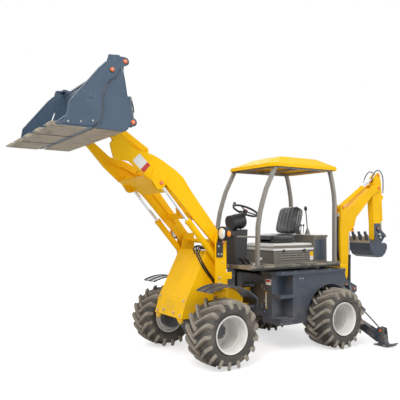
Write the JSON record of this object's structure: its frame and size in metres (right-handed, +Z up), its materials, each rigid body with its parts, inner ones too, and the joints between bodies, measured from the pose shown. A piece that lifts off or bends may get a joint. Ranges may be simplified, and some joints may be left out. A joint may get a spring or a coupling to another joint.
{
  "type": "articulated backhoe loader",
  "caption": "Compact articulated loader with a raised opening bucket, a rear digging arm folded up, stabilizer legs and a canopy over the seat.",
  "frame": {"origin": "on the ground under the middle of the overall length and width", "axes": "+X towards the loader bucket, +Y to the driver's left, +Z up"},
  "size_m": [5.6939, 2.32, 3.234],
  "materials": {
    "black_paint": "semi-gloss",
    "black_plastic": "matte",
    "blue_grey_paint": "semi-gloss",
    "cast_iron": "matte",
    "chrome": "polished",
    "grey_paint": "semi-gloss",
    "hose_rubber": "satin",
    "rim_paint": "semi-gloss",
    "seat_vinyl": "satin",
    "slate_paint": "semi-gloss",
    "taupe_paint": "semi-gloss",
    "tyre_rubber": "matte",
    "yellow_paint": "gloss"
  },
  "bodies": {
    "rear_frame": {"canopy_frame": "grey_paint", "canopy_roof": "yellow_paint", "engine_block": "cast_iron", "engine_hood": "taupe_paint", "left_side_body": "slate_paint", "platform": "taupe_paint", "rear_axle": "slate_paint", "rear_chassis": "slate_paint", "rear_console": "taupe_paint", "right_side_body": "slate_paint", "seat_back": "seat_vinyl", "seat_cushion": "seat_vinyl", "steering_console": "black_plastic", "steering_wheel": "black_plastic"},
    "front_frame": {"front_axle": "slate_paint", "front_frame": "yellow_paint", "left_front_fender": "grey_paint", "left_headlamp": "black_plastic", "right_front_fender": "grey_paint", "right_headlamp": "black_plastic", "tower_hoses": "hose_rubber"},
    "front_left_wheel": {"front_left_tyre": "tyre_rubber", "front_left_rim": "rim_paint"},
    "front_right_wheel": {"front_right_tyre": "tyre_rubber", "front_right_rim": "rim_paint"},
    "rear_left_wheel": {"rear_left_tyre": "tyre_rubber", "rear_left_rim": "rim_paint"},
    "rear_right_wheel": {"rear_right_tyre": "tyre_rubber", "rear_right_rim": "rim_paint"},
    "loader_arm": {"loader_arm": "yellow_paint"},
    "left_lift_cylinder": {"left_lift_cylinder": "yellow_paint"},
    "left_lift_rod": {"left_lift_rod": "chrome"},
    "right_lift_cylinder": {"right_lift_cylinder": "yellow_paint"},
    "right_lift_rod": {"right_lift_rod": "chrome"},
    "loader_bucket": {"loader_bucket": "blue_grey_paint"},
    "tilt_rocker": {"tilt_rocker": "yellow_paint"},
    "tilt_cylinder": {"tilt_cylinder": "yellow_paint"},
    "tilt_rod": {"tilt_rod": "chrome"},
    "tilt_link": {"tilt_link": "yellow_paint"},
    "bucket_jaw": {"bucket_jaw": "blue_grey_paint"},
    "left_jaw_rod": {"left_jaw_rod": "chrome"},
    "right_jaw_rod": {"right_jaw_rod": "chrome"},
    "swing_post": {"swing_post": "slate_paint"},
    "backhoe_boom": {"backhoe_boom": "yellow_paint"},
    "boom_cylinder": {"boom_cylinder": "black_paint"},
    "boom_rod": {"boom_rod": "chrome"},
    "dipper": {"dipper": "yellow_paint"},
    "dipper_cylinder": {"dipper_cylinder": "yellow_paint"},
    "dipper_rod": {"dipper_rod": "chrome"},
    "backhoe_bucket": {"backhoe_bucket": "slate_paint"},
    "bucket_cylinder": {"bucket_cylinder": "yellow_paint"},
    "bucket_rod": {"bucket_rod": "chrome"},
    "bucket_rocker": {"bucket_rocker": "slate_paint"},
    "bucket_link": {"bucket_link": "slate_paint"},
    "left_stabilizer": {"left_stabilizer": "slate_paint"},
    "left_stabilizer_cylinder": {"left_stabilizer_cylinder": "slate_paint"},
    "left_stabilizer_rod": {"left_stabilizer_rod": "chrome"},
    "right_stabilizer": {"right_stabilizer": "slate_paint"},
    "right_stabilizer_cylinder": {"right_stabilizer_cylinder": "slate_paint"},
    "right_stabilizer_rod": {"right_stabilizer_rod": "chrome"}
  },
  "joints": [
    {"name": "articulation", "type": "hinge", "parent": "rear_frame", "child": "front_frame", "pos_m": [-0.046, 0, 0.65], "axis": [0, 0, 1], "range_deg": [-35, 35]},
    {"name": "front_left_wheel_spin", "type": "hinge", "parent": "front_frame", "child": "front_left_wheel", "pos_m": [0.814, 0.669, 0.382], "axis": [0, 1, 0], "continuous": true},
    {"name": "front_right_wheel_spin", "type": "hinge", "parent": "front_frame", "child": "front_right_wheel", "pos_m": [0.814, -0.669, 0.382], "axis": [0, 1, 0], "continuous": true},
    {"name": "rear_left_wheel_spin", "type": "hinge", "parent": "rear_frame", "child": "rear_left_wheel", "pos_m": [-0.961, 0.669, 0.382], "axis": [0, 1, 0], "continuous": true},
    {"name": "rear_right_wheel_spin", "type": "hinge", "parent": "rear_frame", "child": "rear_right_wheel", "pos_m": [-0.961, -0.669, 0.382], "axis": [0, 1, 0], "continuous": true},
    {"name": "arm_lift", "type": "hinge", "parent": "front_frame", "child": "loader_arm", "pos_m": [0.644, 0, 1.38], "axis": [0, -1, 0], "range_deg": [-87, 3]},
    {"name": "left_lift_cylinder_hinge", "type": "hinge", "parent": "front_frame", "child": "left_lift_cylinder", "pos_m": [0.644, 0.365, 1.13], "axis": [0, -1, 0], "range_deg": [-85.91, 3.93]},
    {"name": "left_lift_rod_slide", "type": "slide", "parent": "left_lift_cylinder", "child": "left_lift_rod", "axis": [0.6582, 0, 0.7528], "range_m": [-0.362, 0.0318]},
    {"name": "right_lift_cylinder_hinge", "type": "hinge", "parent": "front_frame", "child": "right_lift_cylinder", "pos_m": [0.644, -0.365, 1.13], "axis": [0, -1, 0], "range_deg": [-85.91, 3.93]},
    {"name": "right_lift_rod_slide", "type": "slide", "parent": "right_lift_cylinder", "child": "right_lift_rod", "axis": [0.6582, 0, 0.7528], "range_m": [-0.362, 0.0318]},
    {"name": "bucket_tilt", "type": "hinge", "parent": "loader_arm", "child": "loader_bucket", "pos_m": [2.024, 0, 2.56], "axis": [0, 1, 0], "range_deg": [-95, 35]},
    {"name": "rocker_turn", "type": "hinge", "parent": "loader_arm", "child": "tilt_rocker", "pos_m": [1.474, 0, 2.18], "axis": [0, 1, 0], "range_deg": [-77, 29]},
    {"name": "link_turn", "type": "hinge", "parent": "tilt_rocker", "child": "tilt_link", "pos_m": [1.4547, 0, 2.44931], "axis": [0, 1, 0], "range_deg": [-31.1, 82.7]},
    {"name": "tilt_cylinder_hinge", "type": "hinge", "parent": "loader_arm", "child": "tilt_cylinder", "pos_m": [0.934, 0, 1.78], "axis": [0, 1, 0], "range_deg": [-6.7, 3.1]},
    {"name": "tilt_rod_slide", "type": "slide", "parent": "tilt_cylinder", "child": "tilt_rod", "axis": [0.6593, 0, 0.7519], "range_m": [-0.2389, 0.1006]},
    {"name": "jaw_open", "type": "hinge", "parent": "loader_bucket", "child": "bucket_jaw", "pos_m": [2.226, 0, 3.077], "axis": [0, -1, 0], "range_deg": [0, 55]},
    {"name": "left_jaw_rod_slide", "type": "slide", "parent": "loader_bucket", "child": "left_jaw_rod", "axis": [0.1715, 0, 0.9852], "range_m": [-0.18, 0.02]},
    {"name": "right_jaw_rod_slide", "type": "slide", "parent": "loader_bucket", "child": "right_jaw_rod", "axis": [0.1715, 0, 0.9852], "range_m": [-0.18, 0.02]},
    {"name": "swing", "type": "hinge", "parent": "rear_frame", "child": "swing_post", "pos_m": [-1.706, 0, 0.67], "axis": [0, 0, 1], "range_deg": [-60, 60]},
    {"name": "boom_lower", "type": "hinge", "parent": "swing_post", "child": "backhoe_boom", "pos_m": [-1.851, 0, 0.68], "axis": [0, -1, 0], "range_deg": [0, 70]},
    {"name": "boom_cylinder_hinge", "type": "hinge", "parent": "swing_post", "child": "boom_cylinder", "pos_m": [-2.026, 0, 0.62], "axis": [0, -1, 0], "range_deg": [-1, 76.24]},
    {"name": "boom_rod_slide", "type": "slide", "parent": "boom_cylinder", "child": "boom_rod", "axis": [-0.0224, 0, 0.9997], "range_m": [-0.2197, 0.02]},
    {"name": "dipper_out", "type": "hinge", "parent": "backhoe_boom", "child": "dipper", "pos_m": [-2.676, 0, 2.165], "axis": [0, -1, 0], "range_deg": [-60, 0]},
    {"name": "dipper_cylinder_hinge", "type": "hinge", "parent": "backhoe_boom", "child": "dipper_cylinder", "pos_m": [-1.846, 0, 1.84], "axis": [0, -1, 0], "range_deg": [-3.24, 1]},
    {"name": "dipper_rod_slide", "type": "slide", "parent": "dipper_cylinder", "child": "dipper_rod", "axis": [-0.8499, 0, 0.5269], "range_m": [-0.2235, 0.02]},
    {"name": "scoop_curl", "type": "hinge", "parent": "dipper", "child": "backhoe_bucket", "pos_m": [-2.616, 0, 1.36], "axis": [0, -1, 0], "range_deg": [-60, 20]},
    {"name": "bucket_cylinder_hinge", "type": "hinge", "parent": "dipper", "child": "bucket_cylinder", "pos_m": [-2.801, 0, 2.02], "axis": [0, -1, 0], "range_deg": [-5.91, 2.64]},
    {"name": "bucket_rod_slide", "type": "slide", "parent": "bucket_cylinder", "child": "bucket_rod", "axis": [-0.0322, 0, -0.9995], "range_m": [-0.1387, 0.0596]},
    {"name": "bucket_rocker_turn", "type": "hinge", "parent": "dipper", "child": "bucket_rocker", "pos_m": [-2.656, 0, 1.52], "axis": [0, -1, 0], "range_deg": [-37.54, 13.18]},
    {"name": "bucket_link_turn", "type": "hinge", "parent": "bucket_rocker", "child": "bucket_link", "pos_m": [-2.821, 0, 1.4], "axis": [0, -1, 0], "range_deg": [-14.87, 42.6]},
    {"name": "left_stabilizer_fold", "type": "hinge", "parent": "rear_frame", "child": "left_stabilizer", "pos_m": [-1.536, 0.36, 0.34], "axis": [1, 0, 0], "range_deg": [0, 55]},
    {"name": "left_stabilizer_cylinder_hinge", "type": "hinge", "parent": "rear_frame", "child": "left_stabilizer_cylinder", "pos_m": [-1.536, 0.36, 0.66], "axis": [1, 0, 0], "range_deg": [-1, 50.63]},
    {"name": "left_stabilizer_rod_slide", "type": "slide", "parent": "left_stabilizer_cylinder", "child": "left_stabilizer_rod", "axis": [0, 0.8054, -0.5928], "range_m": [-0.3099, 0.02]},
    {"name": "right_stabilizer_fold", "type": "hinge", "parent": "rear_frame", "child": "right_stabilizer", "pos_m": [-1.536, -0.36, 0.34], "axis": [-1, 0, 0], "range_deg": [0, 55]},
    {"name": "right_stabilizer_cylinder_hinge", "type": "hinge", "parent": "rear_frame", "child": "right_stabilizer_cylinder", "pos_m": [-1.536, -0.36, 0.66], "axis": [-1, 0, 0], "range_deg": [-1, 50.63]},
    {"name": "right_stabilizer_rod_slide", "type": "slide", "parent": "right_stabilizer_cylinder", "child": "right_stabilizer_rod", "axis": [0, -0.8054, -0.5928], "range_m": [-0.3099, 0.02]}
  ],
  "couplings": [
    {"joint": "left_lift_cylinder_hinge", "follows": "arm_lift", "ratio": 0.976},
    {"joint": "left_lift_rod_slide", "follows": "arm_lift", "m_per_rad": 0.2252},
    {"joint": "right_lift_cylinder_hinge", "follows": "arm_lift", "ratio": 0.976},
    {"joint": "right_lift_rod_slide", "follows": "arm_lift", "m_per_rad": 0.2252},
    {"joint": "rocker_turn", "follows": "bucket_tilt", "ratio": 0.8},
    {"joint": "link_turn", "follows": "bucket_tilt", "ratio": -0.86},
    {"joint": "tilt_cylinder_hinge", "follows": "bucket_tilt", "ratio": 0.06},
    {"joint": "tilt_rod_slide", "follows": "bucket_tilt", "m_per_rad": 0.132},
    {"joint": "left_jaw_rod_slide", "follows": "jaw_open", "m_per_rad": -0.16668},
    {"joint": "right_jaw_rod_slide", "follows": "jaw_open", "m_per_rad": -0.16668},
    {"joint": "boom_cylinder_hinge", "follows": "boom_lower", "ratio": 1.0749},
    {"joint": "boom_rod_slide", "follows": "boom_lower", "m_per_rad": -0.16342},
    {"joint": "dipper_cylinder_hinge", "follows": "dipper_out", "ratio": 0.0374},
    {"joint": "dipper_rod_slide", "follows": "dipper_out", "m_per_rad": 0.19433},
    {"joint": "bucket_rocker_turn", "follows": "scoop_curl", "ratio": 0.609},
    {"joint": "bucket_link_turn", "follows": "scoop_curl", "ratio": -0.6934},
    {"joint": "bucket_cylinder_hinge", "follows": "scoop_curl", "ratio": 0.0818},
    {"joint": "bucket_rod_slide", "follows": "scoop_curl", "m_per_rad": 0.11331},
    {"joint": "left_stabilizer_cylinder_hinge", "follows": "left_stabilizer_fold", "ratio": 0.9024},
    {"joint": "left_stabilizer_rod_slide", "follows": "left_stabilizer_fold", "m_per_rad": -0.30197},
    {"joint": "right_stabilizer_cylinder_hinge", "follows": "right_stabilizer_fold", "ratio": 0.9024},
    {"joint": "right_stabilizer_rod_slide", "follows": "right_stabilizer_fold", "m_per_rad": -0.30197}
  ]
}
